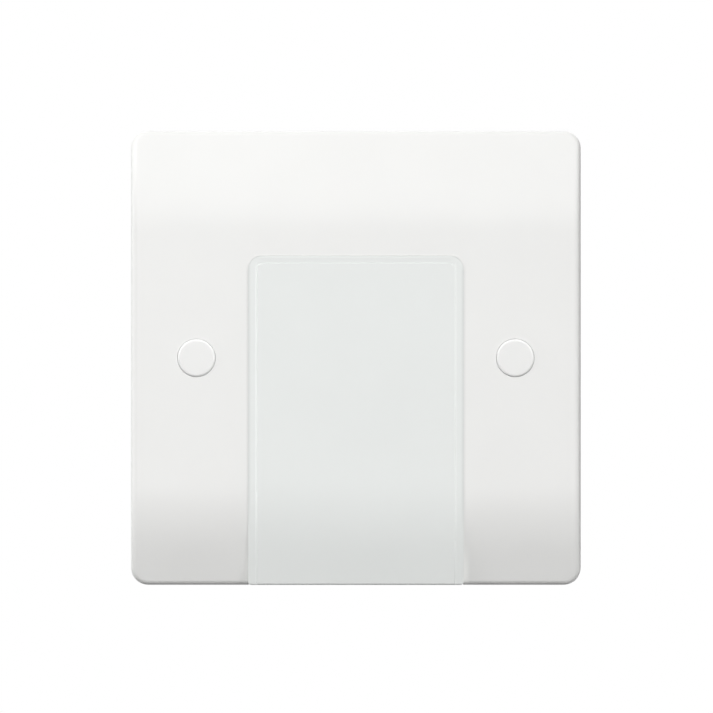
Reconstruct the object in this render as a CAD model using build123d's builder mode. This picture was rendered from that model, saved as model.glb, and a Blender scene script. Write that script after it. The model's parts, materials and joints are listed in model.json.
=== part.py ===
from build123d import *
import os
from collections import namedtuple
from math import cos, radians, sin, tan

# One-gang flex outlet plate: a hollow front plate whose face rolls back at the top and the bottom, and a
# hood set into it, under which a flexible cord passes from the wall box to the bottom edge.
# Frame: X to the right seen from the front, Z up, Y into the wall. The wall is at Y = 0, and the origin
# lies on it, midway between the fixing screws. A depth is measured from the wall towards the front, so
# depth d is at Y = -d, and what lies inside the wall box has a negative depth. Lengths are millimetres.

# Front plate
PLATE_WIDTH = 85.6  # at the wall
PLATE_HEIGHT = 86.4  # at the wall
PLATE_DEPTH = 11.0  # wall to the flat of the face
PLATE_WALL = 2.5
PLATE_RIM = 2.2
PLATE_CORNER = 3.3
PLATE_DRAFT = 2.0  # degrees by which the outer walls lean in towards the front
PLATE_EDGE = 1.2  # round along the front edge
PLATE_ROLL = 13.0  # height of the curve between the flat and the slope
PLATE_SLOPE = 6.0  # height of the straight slope at the top and bottom edges
PLATE_TILT = 16.0  # degrees by which the slope leans back
RIB_WALL = 1.5
RIB_RELIEF = 1.0  # how far the ribs and bosses stop short of the wall
RIB_LEVEL = 9.0  # cross ribs, from the top and bottom edges
RIB_OFFSET = 23.0  # upright ribs, from the plate's middle

# Fixing screws and their press-in covers
FIXING_SPACING = 60.3
FIXING_THREAD = 3.5
FIXING_NECK = 3.0
FIXING_LENGTH = 25.0  # under the head
FIXING_HEAD_HEIGHT = 2.2
FIXING_CLEARANCE = 0.2
FIXING_BOSS_WALL = 2.0
WELL_DEPTH = 5.5  # face to the seat of the screw's head
COVER_DIAMETER = 7.2
COVER_CLEARANCE = 0.05
COVER_PROUD = 0.32
COVER_SINK = 1.25  # face to the shoulder that the cover rests on
COVER_SHOULDER = 0.25
COVER_EDGE = 0.5
COVER_WALL = 0.9
HEAD_CLEARANCE = 0.25

# Flex hood
HOOD_WIDTH = 40.8
HOOD_TOP = 19.3  # above the fixing screws
HOOD_LIFT = 0.2  # hood's bottom edge above the plate's
HOOD_CLEARANCE = 0.01
HOOD_CORNER = 2.6
HOOD_FOOT_CORNER = 0.6
HOOD_FOOT_EDGE = 0.35
HOOD_ROLL = 13.0
HOOD_SLOPE = 6.0
HOOD_TILT = 8.5
HOOD_WALL = 1.8
HOOD_SIDE = 2.7
HOOD_FLOOR = 2.0
LEDGE_SINK = 0.06  # ledge below the flat of the plate
LEDGE_SIDE = 1.39  # hood's side to the foot of the panel's edge
LEDGE_TOP = 1.12
PANEL_RISE = 0.12  # panel above the ledge
PANEL_EDGE = 0.45
FLANGE_REACH = 2.6
FLANGE_WALL = 1.5
FLANGE_DROP = 20.0  # below the fixing screws

# Flex outlet in the hood's bottom wall
OUTLET_WIDTH = 11.0
OUTLET_CORNER = 2.7
OUTLET_EDGE = 0.5

# Ears that carry the hood on bosses behind the plate
EAR_UPPER_LEVEL = 11.0  # above the fixing screws
EAR_LOWER_LEVEL = 15.4  # above the bottom edge
EAR_OFFSET = 5.8  # hood's side to the ear's screw
EAR_WIDTH = 6.4
EAR_WALL = 1.8
EAR_DEPTH = 3.8  # wall to the ear's front face
EAR_BOSS = 6.0

# Cord clamp and the saddle that it closes on
CLAMP_LEVEL = -22.0
CLAMP_WIDTH = 9.0
CLAMP_WALL = 4.0
CLAMP_GRIP = 7.0  # way left for the flex between the teeth
CLAMP_TRAVEL = 1.5  # to each side of the middle position
CLAMP_STOP = 0.3
CLAMP_SIDE_CLEARANCE = 1.6
CLAMP_EDGE = 0.5
TOOTH_RISE = 1.0
TOOTH_PITCH = 2.8
TOOTH_COUNT = 3
TOOTH_CLEARANCE = 0.8
POST_WALL = 1.6

# Terminal carrier and terminals
CARRIER_DEPTH = 1.5  # wall to the front of the carrier's base
CARRIER_BASE = 2.0
CARRIER_SIDE_CLEARANCE = 0.8
CARRIER_TOP_CLEARANCE = 0.3
CARRIER_LUG = 6.0
CARRIER_LIP = 0.9  # base above the pockets, under the hooks
POCKET_WALL = 2.0
POCKET_END = 1.4
POCKET_DEPTH = 11.5
POCKET_CLEARANCE = 0.1
HOOK_WIDTH = 4.0  # each hook, between two of the wire ways
HOOK_WALL = 1.6
HOOK_CLEARANCE = 0.2
TERMINALS = ("live", "earth", "neutral")
TERMINAL_HEIGHT = 14.0
TERMINAL_DEPTH = 8.0
TERMINAL_EDGE = 0.3
TERMINAL_SCREW_PITCH = 7.0
WIRE_BORE = 4.0
WIRE_DEPTH = 3.0  # terminal's front face to the middle of the wire bore
WIRE_SLOT_CLEARANCE = 0.5
SNAP_RISE = 0.5
SNAP_LENGTH = 4.0
SNAP_HEIGHT = 1.2

# Screws driven from behind, with their lengths under the head
EAR_SCREW_SHANK = 2.9
EAR_SCREW_LENGTH = 5.2
EAR_SCREW_HEAD = 5.2
EAR_SCREW_HEAD_HEIGHT = 1.8
CARRIER_SCREW_SHANK = 2.9
CARRIER_SCREW_LENGTH = 7.0
CARRIER_SCREW_HEAD = 5.2
CARRIER_SCREW_HEAD_HEIGHT = 1.9
CLAMP_SCREW_SHANK = 3.0
CLAMP_SCREW_LENGTH = 10.0
CLAMP_SCREW_HEAD = 5.6
CLAMP_SCREW_HEAD_HEIGHT = 2.2
TERMINAL_SCREW_SHANK = 3.5
TERMINAL_SCREW_LENGTH = 6.0
TERMINAL_SCREW_HEAD = 5.8
TERMINAL_SCREW_HEAD_HEIGHT = 2.2
SCREW_CLEARANCE = 0.05
SLOT_WIDTH = 0.9
SLOT_SHARE = 0.55  # slot depth as a share of the head's height
CROSS_SHARE = 0.6  # length of a cross slot as a share of the head's diameter
HEAD_ROUND = 0.35  # round of the head as a share of its height
TIP_CHAMFER = 0.4
PILOT_SPARE = 0.5  # pilot holes past the screws' tips

SIDES = {"left": -1, "right": 1}
TOLERANCE = 1e-4
FACING = 0.5  # share of a normal that tells a face that looks to the front from a wall

# Forms that are used more than once
Roll = namedtuple("Roll", "run slope tilt")
PLATE_FACE = Roll(PLATE_ROLL, PLATE_SLOPE, PLATE_TILT)
HOOD_FACE = Roll(HOOD_ROLL, HOOD_SLOPE, HOOD_TILT)
Screw = namedtuple("Screw", "shank length head head_height slots neck neck_length", defaults=(0.0, 0.0))
EAR_SCREW = Screw(EAR_SCREW_SHANK, EAR_SCREW_LENGTH, EAR_SCREW_HEAD, EAR_SCREW_HEAD_HEIGHT, slots=2)
CARRIER_SCREW = Screw(
    CARRIER_SCREW_SHANK, CARRIER_SCREW_LENGTH, CARRIER_SCREW_HEAD, CARRIER_SCREW_HEAD_HEIGHT, slots=2
)
CLAMP_SCREW = Screw(CLAMP_SCREW_SHANK, CLAMP_SCREW_LENGTH, CLAMP_SCREW_HEAD, CLAMP_SCREW_HEAD_HEIGHT, slots=2)
TERMINAL_SCREW = Screw(
    TERMINAL_SCREW_SHANK, TERMINAL_SCREW_LENGTH, TERMINAL_SCREW_HEAD, TERMINAL_SCREW_HEAD_HEIGHT, slots=1
)

# Places that follow from the sizes above
plate_top = PLATE_HEIGHT / 2
plate_bottom = -plate_top
plate_inside = PLATE_DEPTH - PLATE_WALL
hood_bottom = plate_bottom + HOOD_LIFT
ledge_depth = PLATE_DEPTH - LEDGE_SINK
panel_depth = ledge_depth + PANEL_RISE
panel_inside = panel_depth - HOOD_WALL
well_seat = PLATE_DEPTH - WELL_DEPTH
cover_seat = PLATE_DEPTH - COVER_SINK
well_diameter = COVER_DIAMETER - 2 * COVER_SHOULDER
fixing_head = well_diameter - 2 * HEAD_CLEARANCE
ear_offset = HOOD_WIDTH / 2 + EAR_OFFSET
ear_levels = {"upper": EAR_UPPER_LEVEL, "lower": plate_bottom + EAR_LOWER_LEVEL}
ear_back = EAR_DEPTH - EAR_WALL
cavity_width = HOOD_WIDTH - 2 * HOOD_SIDE
cavity_top = HOOD_TOP - HOOD_SIDE
saddle_depth = panel_inside - TOOTH_RISE
clamp_front = saddle_depth - CLAMP_GRIP - TOOTH_RISE
clamp_back = clamp_front - CLAMP_WALL
clamp_post_end = clamp_front + CLAMP_TRAVEL + CLAMP_STOP
clamp_length = cavity_width - 2 * CLAMP_SIDE_CLEARANCE
clamp_spacing = clamp_length - CLAMP_WIDTH
clamp_post = CLAMP_SCREW.shank + 2 * (SCREW_CLEARANCE + POST_WALL)
tooth_length = clamp_spacing - clamp_post - 2 * TOOTH_CLEARANCE
carrier_width = cavity_width - 2 * CARRIER_SIDE_CLEARANCE
carrier_top = cavity_top - CARRIER_TOP_CLEARANCE
carrier_back = CARRIER_DEPTH - CARRIER_BASE
pocket_top = carrier_top - CARRIER_LIP
pocket_bottom = pocket_top - TERMINAL_HEIGHT - 2 * (POCKET_CLEARANCE + POCKET_END)
pocket_level = (pocket_top + pocket_bottom) / 2
pocket_width = (carrier_width - (len(TERMINALS) + 1) * POCKET_WALL) / len(TERMINALS)
terminal_pitch = pocket_width + POCKET_WALL
terminal_width = pocket_width - 2 * POCKET_CLEARANCE
terminal_back = carrier_back - TERMINAL_DEPTH
wire_depth = carrier_back - WIRE_DEPTH
lug_level = pocket_bottom - CARRIER_LUG / 2
lug_offset = (carrier_width - CARRIER_LUG) / 2
carrier_post = CARRIER_SCREW.shank + 2 * (SCREW_CLEARANCE + POST_WALL)
screw_tip = wire_depth - WIRE_BORE / 2 - WIRE_SLOT_CLEARANCE


def at_depth(depth, x=0.0, z=0.0):
    """Plane that faces the front at a depth from the wall, with its own origin at x and z."""
    return Plane(origin=(x, -depth, z), x_dir=(1, 0, 0), z_dir=(0, -1, 0))


def edge_depth(depth, roll, inset=0.0):
    """Depth of a rolled face where its slope ends, at the top or bottom edge."""
    angle = radians(roll.tilt)
    radius = roll.run / sin(angle) - inset
    slope = roll.slope + roll.run - radius * sin(angle)
    return depth - inset - radius * (1 - cos(angle)) - slope * tan(angle)


def rolled_side(depth, low, high, roll, inset=0.0, roll_top=False, foot=0.0):
    """Side outline of a face that is flat in the middle and rolls back to a straight slope at its end.

    The inset moves the whole face back by a wall's thickness, so its curve keeps the same middle. The foot
    is a round where the slope meets the bottom.
    """
    angle = radians(roll.tilt)
    radius = roll.run / sin(angle) - inset
    flat_y = inset - depth
    curve_y = flat_y + radius * (1 - cos(angle))
    reach = radius * sin(angle)
    low_flat = low + roll.slope + roll.run
    high_flat = high - roll.slope - roll.run
    edge_y = -edge_depth(depth, roll, inset)
    with BuildSketch(Plane.YZ) as side:
        with BuildLine():
            Polyline((flat_y, low_flat), (flat_y, high_flat if roll_top else high))
            TangentArc((flat_y, low_flat), (curve_y, low_flat - reach), tangent=(0, -1))
            Polyline((curve_y, low_flat - reach), (edge_y, low), (0, low), (0, high))
            if roll_top:
                TangentArc((flat_y, high_flat), (curve_y, high_flat + reach), tangent=(0, 1))
                Polyline((curve_y, high_flat + reach), (edge_y, high), (0, high))
            else:
                Line((flat_y, high), (0, high))
        make_face()
        if foot:
            fillet(side.vertices().sort_by_distance((edge_y, low))[0], foot)
    return side.sketch


def front_outline(width, low, high, low_corner, high_corner, depth=0.0):
    """Upright rectangle seen from the front, with one radius on its lower and one on its upper corners."""
    with BuildSketch(at_depth(depth)) as outline:
        with Locations((0, (low + high) / 2)):
            Rectangle(width, high - low)
        for radius, group in ((low_corner, 0), (high_corner, -1)):
            if radius:
                fillet(outline.vertices().group_by(Axis.Y)[group], radius)
    return outline.sketch


def rim_edges(block):
    """Front edges of a block, where its walls meet the faces that look to the front."""
    front = block.faces().filter_by(lambda face: face.normal_at().Y < -FACING)
    walls = block.faces().filter_by(lambda face: abs(face.normal_at().Y) < FACING)
    return front.edges() & walls.edges()


def moulded_block(side, outline, edge=0.0, draft=0.0):
    """Block with the given side and front outlines, whose walls lean in by the draft to a rounded front edge."""
    with BuildPart() as block:
        extrude(side, amount=PLATE_WIDTH, both=True)
        extrude(outline, amount=2 * panel_depth, taper=draft, mode=Mode.INTERSECT)
        if edge:
            fillet(rim_edges(block), edge)
    return block.part


def grip_teeth(depth, rise):
    """Sharp ridges across the flex, standing on a plane at a depth; a negative rise faces the wall."""
    first = CLAMP_LEVEL - TOOTH_PITCH * (TOOTH_COUNT - 1) / 2
    with BuildPart() as teeth:
        with BuildSketch(Plane.YZ):
            for row in range(TOOTH_COUNT):
                level = first + row * TOOTH_PITCH
                with BuildLine():
                    Polyline(
                        (-depth, level - TOOTH_PITCH / 2),
                        (-depth - rise, level),
                        (-depth, level + TOOTH_PITCH / 2),
                        close=True,
                    )
                make_face()
        extrude(amount=tooth_length / 2, both=True)
    return teeth.part


def made_screw(seat, size):
    """Screw whose head rests on a plane and whose shank runs along the plane's normal."""
    along = Axis(seat.origin, seat.z_dir)
    with BuildPart() as screw:
        with BuildSketch(seat.offset(size.neck_length)):
            Circle(size.shank / 2)
        extrude(amount=size.length - size.neck_length)
        chamfer(screw.edges().sort_by(along)[-1], TIP_CHAMFER)
        if size.neck_length:
            with BuildSketch(seat):
                Circle(size.neck / 2)
            extrude(amount=size.neck_length)
        with BuildSketch(seat):
            Circle(size.head / 2)
        extrude(amount=-size.head_height)
        fillet(screw.edges().sort_by(along)[0], HEAD_ROUND * size.head_height)
        slot_length = size.head if size.slots == 1 else CROSS_SHARE * size.head
        with BuildSketch(seat.offset(-size.head_height)):
            for turn in range(size.slots):
                Rectangle(slot_length, SLOT_WIDTH, rotation=90 * turn)
        extrude(amount=SLOT_SHARE * size.head_height, mode=Mode.SUBTRACT)
    return screw.part


def write_step(solid, name):
    """Label a finished piece and write it under its own name."""
    solid.label = name
    export_step(solid, f"parts/{name}.step")


os.makedirs("parts", exist_ok=True)

# Front plate: rolled face, hollow back, bosses and ribs, and the aperture for the hood
plate_outline = front_outline(PLATE_WIDTH, plate_bottom, plate_top, PLATE_CORNER, PLATE_CORNER)
plate_side = rolled_side(PLATE_DEPTH, plate_bottom, plate_top, PLATE_FACE, roll_top=True)
plate_block = moulded_block(plate_side, plate_outline, PLATE_EDGE, PLATE_DRAFT)
cavity_outline = front_outline(
    PLATE_WIDTH - 2 * PLATE_RIM, plate_bottom + PLATE_RIM, plate_top - PLATE_RIM, PLATE_RIM, PLATE_RIM
)
cavity_side = rolled_side(PLATE_DEPTH, plate_bottom, plate_top, PLATE_FACE, PLATE_WALL, roll_top=True)
plate_cavity = moulded_block(cavity_side, cavity_outline)
mid_wall_side = rolled_side(PLATE_DEPTH, plate_bottom, plate_top, PLATE_FACE, PLATE_WALL / 2, roll_top=True)
aperture_width = HOOD_WIDTH + 2 * HOOD_CLEARANCE
aperture_top = HOOD_TOP + HOOD_CLEARANCE
aperture_outline = front_outline(
    aperture_width, plate_bottom - PLATE_RIM, aperture_top, 0.0, HOOD_CORNER + HOOD_CLEARANCE
)
fixing_places = [(side * FIXING_SPACING / 2, 0.0) for side in SIDES.values()]
ear_places = [(side * ear_offset, level) for side in SIDES.values() for level in ear_levels.values()]
fixing_boss = COVER_DIAMETER + 2 * (COVER_CLEARANCE + FIXING_BOSS_WALL)
rib_reach = (PLATE_WIDTH - FIXING_SPACING) / 2

with BuildPart() as stiffening:
    with BuildSketch(at_depth(RIB_RELIEF)):
        with Locations(*fixing_places):
            Circle(fixing_boss / 2)
        for x, z in fixing_places:
            with Locations((x + (rib_reach / 2 if x > 0 else -rib_reach / 2), z)):
                Rectangle(rib_reach, RIB_WALL)
        for level in (plate_top - RIB_LEVEL, plate_bottom + RIB_LEVEL):
            with Locations((0, level)):
                Rectangle(PLATE_WIDTH - PLATE_RIM, RIB_WALL)
        for x in (-RIB_OFFSET, RIB_OFFSET):
            with Locations((x, plate_top - (RIB_LEVEL + PLATE_RIM / 2) / 2)):
                Rectangle(RIB_WALL, RIB_LEVEL - PLATE_RIM / 2)
    extrude(amount=PLATE_DEPTH)
    with BuildSketch(at_depth(EAR_DEPTH)):
        with Locations(*ear_places):
            Circle(EAR_BOSS / 2)
    extrude(amount=PLATE_DEPTH)
    extrude(mid_wall_side, amount=PLATE_WIDTH / 2 - PLATE_RIM / 2, both=True, mode=Mode.INTERSECT)

with BuildPart() as front_plate:
    add(plate_block)
    add(plate_cavity, mode=Mode.SUBTRACT)
    add(stiffening.part)
    extrude(aperture_outline, amount=2 * panel_depth, both=True, mode=Mode.SUBTRACT)
    with Locations(*[at_depth(PLATE_DEPTH, x, z) for x, z in fixing_places]):
        Hole(well_diameter / 2, WELL_DEPTH)
        Hole(COVER_DIAMETER / 2 + COVER_CLEARANCE, COVER_SINK)
        Hole(FIXING_THREAD / 2 + FIXING_CLEARANCE)
    with BuildSketch(at_depth(EAR_DEPTH)):
        with Locations(*ear_places):
            Circle(EAR_SCREW.shank / 2 + SCREW_CLEARANCE)
    extrude(amount=EAR_SCREW.length - EAR_WALL + PILOT_SPARE, mode=Mode.SUBTRACT)
write_step(front_plate.part, "front_plate")

# Flex hood: stepped front, hollow back, flange, ears, posts, saddle and the hooks over the carrier
hood_side = rolled_side(ledge_depth, hood_bottom, HOOD_TOP, HOOD_FACE, foot=HOOD_FOOT_EDGE)
hood_outline = front_outline(HOOD_WIDTH, hood_bottom, HOOD_TOP, HOOD_FOOT_CORNER, HOOD_CORNER)
ledge_block = moulded_block(hood_side, hood_outline)
panel_side = rolled_side(panel_depth, hood_bottom, HOOD_TOP, HOOD_FACE)
panel_width = HOOD_WIDTH - 2 * LEDGE_SIDE
panel_top = HOOD_TOP - LEDGE_TOP
panel_corner = HOOD_CORNER - LEDGE_TOP
panel_outline = front_outline(panel_width, hood_bottom, panel_top, 0.0, panel_corner)
panel_block = moulded_block(panel_side, panel_outline, PANEL_EDGE)
hood_cavity = moulded_block(
    rolled_side(panel_depth, hood_bottom, HOOD_TOP, HOOD_FACE, HOOD_WALL),
    front_outline(cavity_width, hood_bottom + HOOD_FLOOR, cavity_top, HOOD_FOOT_CORNER, HOOD_FOOT_CORNER),
)
mid_hood_side = rolled_side(panel_depth, hood_bottom, HOOD_TOP, HOOD_FACE, HOOD_WALL / 2)
flange_depth = plate_inside - FLANGE_WALL
flange_outline = front_outline(
    HOOD_WIDTH + 2 * FLANGE_REACH, -FLANGE_DROP, HOOD_TOP + FLANGE_REACH, 0.0, HOOD_CORNER, flange_depth
)
clamp_places = [(side * clamp_spacing / 2, CLAMP_LEVEL) for side in SIDES.values()]
lug_places = [(side * lug_offset, lug_level) for side in SIDES.values()]
pillar_places = [(side * lug_offset, pocket_top - carrier_post / 2) for side in SIDES.values()]
hook_front = HOOK_CLEARANCE - carrier_back
hook_back = hook_front + HOOK_WALL

with BuildPart() as flange:
    extrude(cavity_side, amount=HOOD_WIDTH, both=True)
    extrude(flange_outline, amount=FLANGE_WALL, mode=Mode.INTERSECT)

with BuildPart() as fittings:
    with BuildSketch(at_depth(clamp_post_end)):
        with Locations(*clamp_places):
            Circle(clamp_post / 2)
    extrude(amount=panel_depth)
    with BuildSketch(at_depth(CARRIER_DEPTH)):
        with Locations(*lug_places, *pillar_places):
            Circle(carrier_post / 2)
    extrude(amount=panel_depth)
    add(grip_teeth(panel_inside, -TOOTH_RISE))
    extrude(mid_hood_side, amount=HOOD_WIDTH, both=True, mode=Mode.INTERSECT)

with BuildPart() as flex_hood:
    add(ledge_block)
    add(panel_block)
    add(flange.part)
    with BuildSketch(at_depth(ear_back)):
        for x, z in ear_places:
            with Locations((x - (EAR_OFFSET / 2 if x > 0 else -EAR_OFFSET / 2), z)):
                SlotCenterToCenter(EAR_OFFSET, EAR_WIDTH)
    extrude(amount=EAR_WALL)
    add(hood_cavity, mode=Mode.SUBTRACT)
    with BuildSketch(Plane.XY.offset(hood_bottom)) as outlet:
        outlet_depth = edge_depth(panel_depth, HOOD_FACE, HOOD_WALL)
        Rectangle(OUTLET_WIDTH, 2 * outlet_depth)
        fillet(outlet.vertices().group_by(Axis.Y)[0], OUTLET_CORNER)
    extrude(amount=2 * HOOD_FLOOR, mode=Mode.SUBTRACT)
    mouth_edges = flex_hood.edges().group_by(Axis.Z)[0].filter_by(
        lambda edge: abs(edge.center().X) < OUTLET_WIDTH / 2 + TOLERANCE
        and edge.center().Y > -outlet_depth - TOLERANCE
    )
    fillet(mouth_edges, OUTLET_EDGE)
    add(fittings.part)
    for x in (-terminal_pitch / 2, terminal_pitch / 2):
        with BuildSketch(Plane.YZ.offset(x)):
            with BuildLine():
                Polyline(
                    (-HOOK_WALL, cavity_top),
                    (hook_front, cavity_top),
                    (hook_front, pocket_top + HOOK_CLEARANCE),
                    (hook_back, pocket_top + HOOK_CLEARANCE),
                    (hook_back, cavity_top + HOOK_WALL),
                    (-HOOK_WALL, cavity_top + HOOK_WALL),
                    close=True,
                )
            make_face()
        extrude(amount=HOOK_WIDTH / 2, both=True)
    with BuildSketch(at_depth(ear_back)):
        with Locations(*ear_places):
            Circle(EAR_SCREW.shank / 2 + FIXING_CLEARANCE)
    extrude(amount=EAR_WALL, mode=Mode.SUBTRACT)
    with BuildSketch(at_depth(clamp_post_end)):
        with Locations(*clamp_places):
            Circle(CLAMP_SCREW.shank / 2 + SCREW_CLEARANCE)
    clamp_tip = clamp_back + CLAMP_SCREW.length + CLAMP_TRAVEL
    extrude(amount=clamp_tip + PILOT_SPARE - clamp_post_end, mode=Mode.SUBTRACT)
    with BuildSketch(at_depth(CARRIER_DEPTH)):
        with Locations(*lug_places):
            Circle(CARRIER_SCREW.shank / 2 + SCREW_CLEARANCE)
    extrude(amount=CARRIER_SCREW.length - CARRIER_BASE + PILOT_SPARE, mode=Mode.SUBTRACT)
write_step(flex_hood.part, "flex_hood")

# Terminal carrier: base with two lugs, three pockets open to the back, wire slots and snap lips
terminal_places = {
    name: (index - (len(TERMINALS) - 1) / 2) * terminal_pitch for index, name in enumerate(TERMINALS)
}
pocket_height = pocket_top - pocket_bottom
wire_slot = WIRE_BORE + 2 * WIRE_SLOT_CLEARANCE
carrier_end = POCKET_DEPTH - carrier_back
snap_start = POCKET_CLEARANCE - terminal_back

with BuildPart() as terminal_carrier:
    with BuildSketch(at_depth(carrier_back)):
        with Locations((0, (carrier_top + pocket_bottom) / 2)):
            Rectangle(carrier_width, carrier_top - pocket_bottom)
        with Locations(*lug_places):
            Rectangle(CARRIER_LUG, CARRIER_LUG)
    extrude(amount=CARRIER_BASE)
    with BuildSketch(at_depth(carrier_back, 0, pocket_level)):
        Rectangle(carrier_width, pocket_height)
    extrude(amount=-POCKET_DEPTH)
    with BuildSketch(at_depth(carrier_back, 0, pocket_level)):
        with Locations(*[(x, 0) for x in terminal_places.values()]):
            Rectangle(pocket_width, TERMINAL_HEIGHT + 2 * POCKET_CLEARANCE)
    extrude(amount=-POCKET_DEPTH, mode=Mode.SUBTRACT)
    with BuildSketch(Plane.XY.offset(pocket_bottom)):
        for x in terminal_places.values():
            with Locations((x, -wire_depth)):
                Circle(wire_slot / 2)
            with Locations((x, (carrier_end - wire_depth) / 2)):
                Rectangle(wire_slot, carrier_end + wire_depth)
    extrude(amount=pocket_height, mode=Mode.SUBTRACT)
    with BuildSketch(Plane.XY.offset(pocket_level - SNAP_LENGTH / 2)):
        for x in terminal_places.values():
            for side in SIDES.values():
                wall = x + side * pocket_width / 2
                with BuildLine():
                    Polyline(
                        (wall, snap_start),
                        (wall - side * SNAP_RISE, snap_start),
                        (wall, snap_start + SNAP_HEIGHT),
                        close=True,
                    )
                make_face()
    extrude(amount=SNAP_LENGTH)
    with BuildSketch(at_depth(carrier_back)):
        with Locations(*lug_places):
            Circle(CARRIER_SCREW.shank / 2 + FIXING_CLEARANCE)
    extrude(amount=CARRIER_BASE, mode=Mode.SUBTRACT)
write_step(terminal_carrier.part, "terminal_carrier")

# Terminals: brass blocks with an upright wire bore and two tapped holes from behind
for name, x in terminal_places.items():
    screw_levels = {
        "supply": pocket_level + TERMINAL_SCREW_PITCH / 2,
        "flex": pocket_level - TERMINAL_SCREW_PITCH / 2,
    }
    with BuildPart() as terminal:
        with BuildSketch(at_depth(terminal_back, x, pocket_level)):
            Rectangle(terminal_width, TERMINAL_HEIGHT)
        extrude(amount=TERMINAL_DEPTH)
        chamfer(terminal.edges(), TERMINAL_EDGE)
        with BuildSketch(Plane.XY.offset(pocket_level)):
            with Locations((x, -wire_depth)):
                Circle(WIRE_BORE / 2)
        extrude(amount=TERMINAL_HEIGHT, both=True, mode=Mode.SUBTRACT)
        with BuildSketch(at_depth(terminal_back)):
            with Locations(*[(x, level) for level in screw_levels.values()]):
                Circle(TERMINAL_SCREW.shank / 2 + SCREW_CLEARANCE)
        extrude(amount=TERMINAL_DEPTH - WIRE_DEPTH, mode=Mode.SUBTRACT)
    write_step(terminal.part, f"{name}_terminal")
    for end, level in screw_levels.items():
        seat = at_depth(screw_tip - TERMINAL_SCREW.length, x, level)
        write_step(made_screw(seat, TERMINAL_SCREW), f"{name}_{end}_screw")

# Cord clamp: bar with grip teeth and the two screws that draw it in
with BuildPart() as cord_clamp:
    with BuildSketch(at_depth(clamp_back, 0, CLAMP_LEVEL)):
        SlotOverall(clamp_length, CLAMP_WIDTH)
    extrude(amount=CLAMP_WALL)
    fillet(cord_clamp.edges().group_by(Axis.Y)[-1], CLAMP_EDGE)
    add(grip_teeth(clamp_front, TOOTH_RISE))
    with BuildSketch(at_depth(clamp_back)):
        with Locations(*clamp_places):
            Circle(CLAMP_SCREW.shank / 2 + FIXING_CLEARANCE)
    extrude(amount=CLAMP_WALL, mode=Mode.SUBTRACT)
write_step(cord_clamp.part, "cord_clamp")

# Fixing screws and covers, and the screws that stand left and right of the middle
skirt_end = well_seat + FIXING_HEAD_HEIGHT + HEAD_CLEARANCE
fixing_size = Screw(
    FIXING_THREAD, FIXING_LENGTH, fixing_head, FIXING_HEAD_HEIGHT, 1, FIXING_NECK, neck_length=well_seat
)
for name, side in SIDES.items():
    fixing_x = side * FIXING_SPACING / 2
    seat = Plane(origin=(fixing_x, -well_seat, 0), x_dir=(1, 0, 0), z_dir=(0, 1, 0))
    write_step(made_screw(seat, fixing_size), f"fixing_screw_{name}")

    with BuildPart() as cover:
        with BuildSketch(at_depth(cover_seat, fixing_x)):
            Circle(COVER_DIAMETER / 2)
        extrude(amount=COVER_SINK + COVER_PROUD)
        fillet(cover.edges().sort_by(Axis.Y)[0], COVER_EDGE)
        with BuildSketch(at_depth(skirt_end, fixing_x)):
            Circle(well_diameter / 2 - COVER_CLEARANCE)
            Circle(well_diameter / 2 - COVER_CLEARANCE - COVER_WALL, mode=Mode.SUBTRACT)
        extrude(amount=cover_seat - skirt_end)
    write_step(cover.part, f"screw_cover_{name}")

    clamp_seat = at_depth(clamp_back, side * clamp_spacing / 2, CLAMP_LEVEL)
    write_step(made_screw(clamp_seat, CLAMP_SCREW), f"cord_clamp_screw_{name}")
    carrier_seat = at_depth(carrier_back, side * lug_offset, lug_level)
    write_step(made_screw(carrier_seat, CARRIER_SCREW), f"carrier_screw_{name}")
    for row, level in ear_levels.items():
        ear_seat = at_depth(ear_back, side * ear_offset, level)
        write_step(made_screw(ear_seat, EAR_SCREW), f"hood_screw_{row}_{name}")
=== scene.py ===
"""Looks of a one-gang flex outlet plate: finishes, threaded screws, inside marks, studio and camera.

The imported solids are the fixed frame. Everything is in metres, with X to the right seen from the front,
Y into the wall and Z up, and the wall plane at Y = 0.
"""

import json
import logging
import math
from abc import ABC, abstractmethod
from dataclasses import dataclass, field
from enum import Enum
from typing import Any

import bpy
import numpy as np
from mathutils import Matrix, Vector


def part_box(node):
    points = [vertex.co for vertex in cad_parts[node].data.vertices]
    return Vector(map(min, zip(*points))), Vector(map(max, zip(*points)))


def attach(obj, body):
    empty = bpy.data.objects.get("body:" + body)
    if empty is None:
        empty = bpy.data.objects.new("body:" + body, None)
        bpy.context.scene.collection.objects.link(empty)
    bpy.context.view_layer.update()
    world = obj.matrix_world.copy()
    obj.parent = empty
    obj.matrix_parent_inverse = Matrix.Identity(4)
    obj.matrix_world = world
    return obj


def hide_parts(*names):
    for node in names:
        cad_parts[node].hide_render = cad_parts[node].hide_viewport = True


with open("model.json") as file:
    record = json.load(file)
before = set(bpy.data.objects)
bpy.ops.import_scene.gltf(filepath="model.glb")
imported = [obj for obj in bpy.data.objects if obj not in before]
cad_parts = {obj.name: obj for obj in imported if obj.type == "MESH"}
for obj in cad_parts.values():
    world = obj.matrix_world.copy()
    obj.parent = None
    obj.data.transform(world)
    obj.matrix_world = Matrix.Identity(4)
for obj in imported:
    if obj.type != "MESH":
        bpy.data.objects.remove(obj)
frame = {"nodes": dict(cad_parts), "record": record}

LOG = logging.getLogger("flex_outlet_plate")
MM = 0.001
FULL_TURN = 2 * math.pi

Colour = tuple[float, float, float]
Paint = tuple[float, float, float, float]
Point = tuple[float, float, float]
Socket = bpy.types.NodeSocket

WHITE: Colour = (1.0, 1.0, 1.0)
PALEST_CHANNEL = 0.98


def opaque(colour: Colour) -> Paint:
    """Return a colour with full alpha, as colour sockets take it."""
    return (*colour, 1.0)


def scaled(colour: Colour, factor: float) -> Colour:
    """Return a colour made lighter or darker by a factor, kept below full white."""
    return tuple(min(PALEST_CHANNEL, channel * factor) for channel in colour)


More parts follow.
